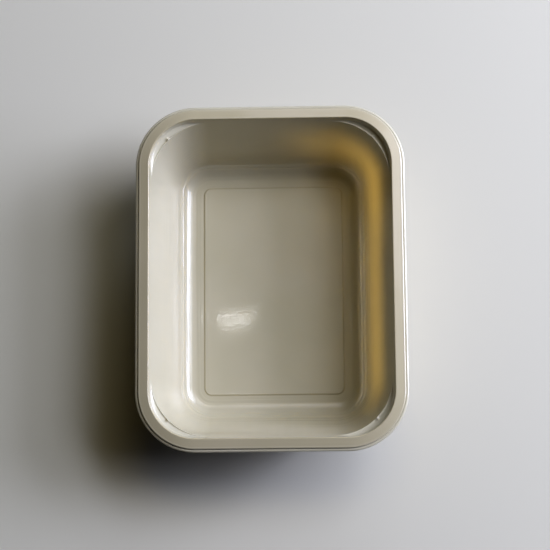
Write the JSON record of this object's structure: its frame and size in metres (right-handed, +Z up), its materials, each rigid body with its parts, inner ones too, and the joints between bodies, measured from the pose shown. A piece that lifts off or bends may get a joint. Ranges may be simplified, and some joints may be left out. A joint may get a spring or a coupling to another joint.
{
  "type": "airline meal tray",
  "caption": "Empty rectangular airline meal dish of lacquered aluminium: smooth sloping walls, flat lid flange with a rolled bead, stacking ledges in the corners and a raised floor panel.",
  "frame": {"origin": "centre of the bounding box, on the surface that the base stands on", "axes": "+Z up through the open mouth, +Y along the long sides, +X across the dish"},
  "size_m": [0.122, 0.1568, 0.046],
  "materials": {
    "lacquered_sheet": "glossy ivory lacquer on smooth pressed sheet"
  },
  "bodies": {
    "root": {"tray": "lacquered_sheet"}
  },
  "joints": []
}
